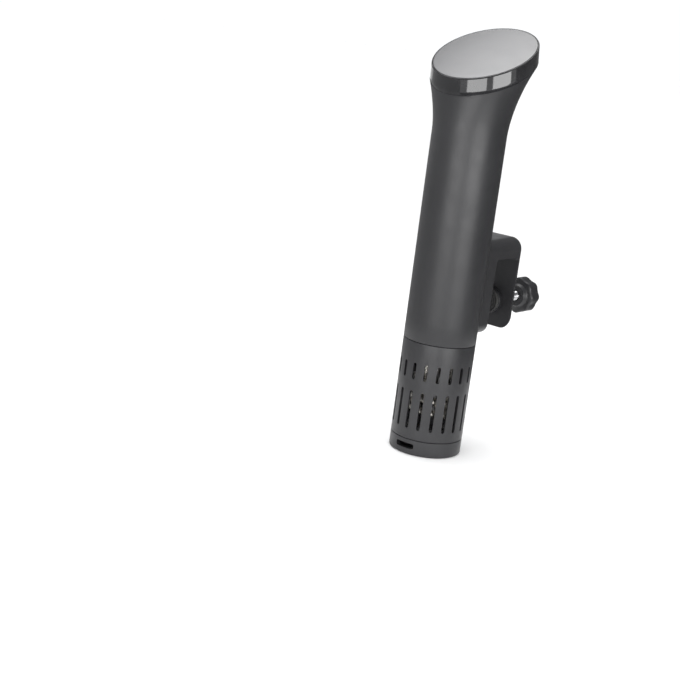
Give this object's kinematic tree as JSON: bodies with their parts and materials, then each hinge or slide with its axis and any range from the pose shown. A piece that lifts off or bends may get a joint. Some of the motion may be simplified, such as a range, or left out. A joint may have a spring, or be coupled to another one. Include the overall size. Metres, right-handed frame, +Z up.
{
  "type": "sous vide circulator",
  "caption": "Upright immersion heater and stirrer with a slanted round control head, a slotted lower skirt and a screw clamp for a vessel's wall.",
  "frame": {"origin": "centre of the foot's flat underside, on the body's axis", "axes": "+Z up the body's axis towards the head, +Y towards the vessel clamp, -Y the front that the slanted panel faces, +X to the right seen from the front"},
  "size_m": [0.0808, 0.1439, 0.325],
  "materials": {
    "body_housing": "fine satin texture",
    "head_band": "gloss",
    "display_panel": "smooth satin",
    "moulded_black": "moulded",
    "soft_black": "matt",
    "silicone": "matt",
    "board": "solder mask",
    "component": "moulded",
    "transformer_tape": "tape over windings",
    "steel": "drawn",
    "aluminium": "satin",
    "brass": "turned",
    "nylon": "natural",
    "ceramic": "unglazed"
  },
  "bodies": {
    "main_body": {"body_housing": "body_housing", "bracket_screw_1": "steel", "bracket_screw_2": "steel", "bulkhead": "moulded_black", "bulkhead_o_ring": "silicone", "buzzer": "component", "clamp_bracket": "body_housing", "cord_gland": "soft_black", "display_board": "board", "display_carrier": "moulded_black", "display_panel": "display_panel", "filter_capacitor": "component", "gland_nut": "nylon", "head_band": "head_band", "heater_coil": "steel", "heater_terminal_1": "ceramic", "heater_terminal_2": "ceramic", "heater_wire_1": "silicone", "heater_wire_2": "silicone", "inner_frame": "nylon", "jaw_pad": "soft_black", "led_display": "component", "level_probe_1": "steel", "level_probe_2": "steel", "lower_bush": "nylon", "motor_can": "steel", "motor_end_cap": "component", "motor_isolator": "soft_black", "motor_mount": "moulded_black", "motor_standoff_1": "brass", "motor_standoff_2": "brass", "motor_standoff_3": "brass", "panel_gasket": "soft_black", "power_board": "board", "pump_plate": "moulded_black", "relay": "component", "ribbon_cable": "component", "shaft_seal": "silicone", "shaft_tube": "steel", "temperature_probe": "steel", "terminal_block": "nylon", "thread_insert": "brass", "touch_spring_1": "steel", "touch_spring_2": "steel", "touch_spring_3": "steel", "transformer": "transformer_tape", "triac": "component", "triac_heatsink": "aluminium", "wireless_module": "aluminium"},
    "drive_line": {"motor_rotor": "steel", "shaft_coupling": "brass", "drive_shaft": "steel", "impeller": "nylon"},
    "clamp_pad": {"pressure_pad": "moulded_black", "pressure_pad_face": "soft_black"},
    "clamp_screw_and_knob": {"clamp_screw": "steel", "clamp_knob": "moulded_black"},
    "skirt_and_foot": {"skirt": "moulded_black", "foot_cap": "moulded_black"}
  },
  "joints": [
    {"name": "impeller_spin", "type": "hinge", "parent": "main_body", "child": "drive_line", "pos_m": [0, 0, 0.06], "axis": [0, 0, 1], "continuous": true},
    {"name": "clamp_pad_slide", "type": "slide", "parent": "main_body", "child": "clamp_pad", "axis": [0, -1, 0], "range_m": [0, 0.0222]},
    {"name": "clamp_knob_turn", "type": "hinge", "parent": "clamp_pad", "child": "clamp_screw_and_knob", "pos_m": [0, 0.08, 0.114], "axis": [0, 1, 0], "range_deg": [-4000, 0]},
    {"name": "skirt_pull_off", "type": "slide", "parent": "main_body", "child": "skirt_and_foot", "axis": [0, 0, -1], "range_m": [0, 0.095]}
  ],
  "couplings": [
    {"joint": "clamp_knob_turn", "follows": "clamp_pad_slide", "rad_per_m": -3141.6}
  ]
}
